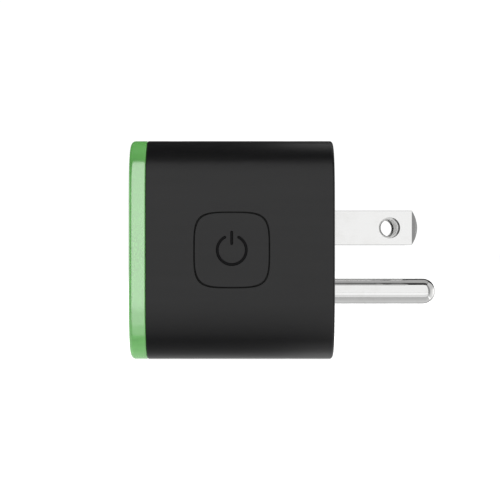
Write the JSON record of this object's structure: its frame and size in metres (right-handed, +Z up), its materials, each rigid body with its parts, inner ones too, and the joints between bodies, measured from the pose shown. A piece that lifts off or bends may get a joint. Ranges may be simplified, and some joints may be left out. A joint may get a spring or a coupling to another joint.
{
  "type": "smart plug",
  "caption": "Pass-through smart plug: soft-cornered black housing with a green socket-side bezel, square side power button, flat blades and a round ground pin.",
  "frame": {"origin": "centre of the flat face that meets the wall outlet", "axes": "+X along the blades into the wall, +Z up with the flat blades above the ground pin, -Y towards the side with the power button"},
  "size_m": [0.0561, 0.06, 0.0386],
  "materials": {
    "bezel_green": "glossy, slightly translucent",
    "blade_nickel": "bright nickel plate",
    "board_green": "solder mask",
    "bobbin_white": "moulded nylon",
    "button_black": "fine satin",
    "capacitor_sleeve": "shrink sleeve",
    "carrier_nylon": "moulded nylon",
    "chip_black": "moulded epoxy",
    "contact_brass": "stamped spring brass",
    "contact_silver": "silver alloy on bronze strip",
    "copper": "tinned copper strip",
    "dome_steel": "stainless spring sheet",
    "faceplate_black": "satin",
    "ferrite": "sintered ferrite",
    "housing_black": "fine spark-eroded satin",
    "led_white": "clear epoxy",
    "pin_nickel": "polished nickel plate",
    "radio_board_blue": "solder mask",
    "relay_base": "moulded polyester",
    "relay_case": "moulded polyester",
    "resistor_body": "lacquered ceramic",
    "screw_steel": "zinc plate",
    "soft_iron": "zinc-plated iron",
    "switch_black": "moulded nylon",
    "symbol_smoke": "smoked translucent light guide",
    "tinned_steel": "tin plate",
    "varistor_blue": "epoxy dip",
    "winding_copper": "enamelled wire"
  },
  "bodies": {
    "plug_body": {"main_housing": "housing_black", "front_bezel": "bezel_green", "socket_faceplate": "faceplate_black", "blade_carrier": "carrier_nylon", "line_blade": "blade_nickel", "neutral_blade": "blade_nickel", "ground_pin": "pin_nickel", "ground_strap": "contact_brass", "contact_carrier": "carrier_nylon", "line_contact": "contact_brass", "neutral_contact": "contact_brass", "ground_contact": "contact_brass", "main_board": "board_green", "line_busbar": "copper", "load_busbar": "copper", "neutral_busbar": "copper", "input_capacitors": "capacitor_sleeve", "output_capacitor": "capacitor_sleeve", "inductor": "ferrite", "fuse_resistor": "resistor_body", "varistor": "varistor_blue", "bridge_rectifier": "chip_black", "converter_chip": "chip_black", "board_screws": "screw_steel", "socket_screws": "screw_steel", "relay_base": "relay_base", "relay_cover": "relay_case", "relay_yoke": "soft_iron", "relay_core": "soft_iron", "relay_bobbin": "bobbin_white", "relay_winding": "winding_copper", "relay_coil_pins": "tinned_steel", "relay_common_terminal": "contact_brass", "relay_fixed_contact": "contact_silver", "switch_base": "switch_black", "switch_frame": "tinned_steel", "switch_dome": "dome_steel", "status_led": "led_white", "button_board": "board_green", "button_board_screws": "screw_steel", "button_header": "tinned_steel", "wifi_board": "radio_board_blue", "rf_shield": "tinned_steel", "radio_header": "tinned_steel"},
    "power_button": {"power_button": "button_black", "power_symbol_inlay": "symbol_smoke"},
    "switch_plunger": {"switch_plunger": "switch_black"},
    "relay_armature": {"relay_armature": "soft_iron", "relay_contact_spring": "contact_silver"}
  },
  "joints": [
    {"name": "button_press", "type": "slide", "parent": "plug_body", "child": "power_button", "axis": [0, 1, 0], "range_m": [0, 0.00035], "stiffness_N_per_m": 4500},
    {"name": "switch_travel", "type": "slide", "parent": "plug_body", "child": "switch_plunger", "axis": [0, 1, 0], "range_m": [0, 0.00035], "stiffness_N_per_m": 5, "deforming": ["switch_dome"]},
    {"name": "armature_hinge", "type": "hinge", "parent": "plug_body", "child": "relay_armature", "pos_m": [-0.0224, 0.02045, -0.0081], "axis": [0, 1, 0], "range_deg": [0, 4], "stiffness_Nm_per_rad": 0.02}
  ],
  "couplings": [
    {"joint": "switch_travel", "follows": "button_press", "ratio": 1}
  ]
}
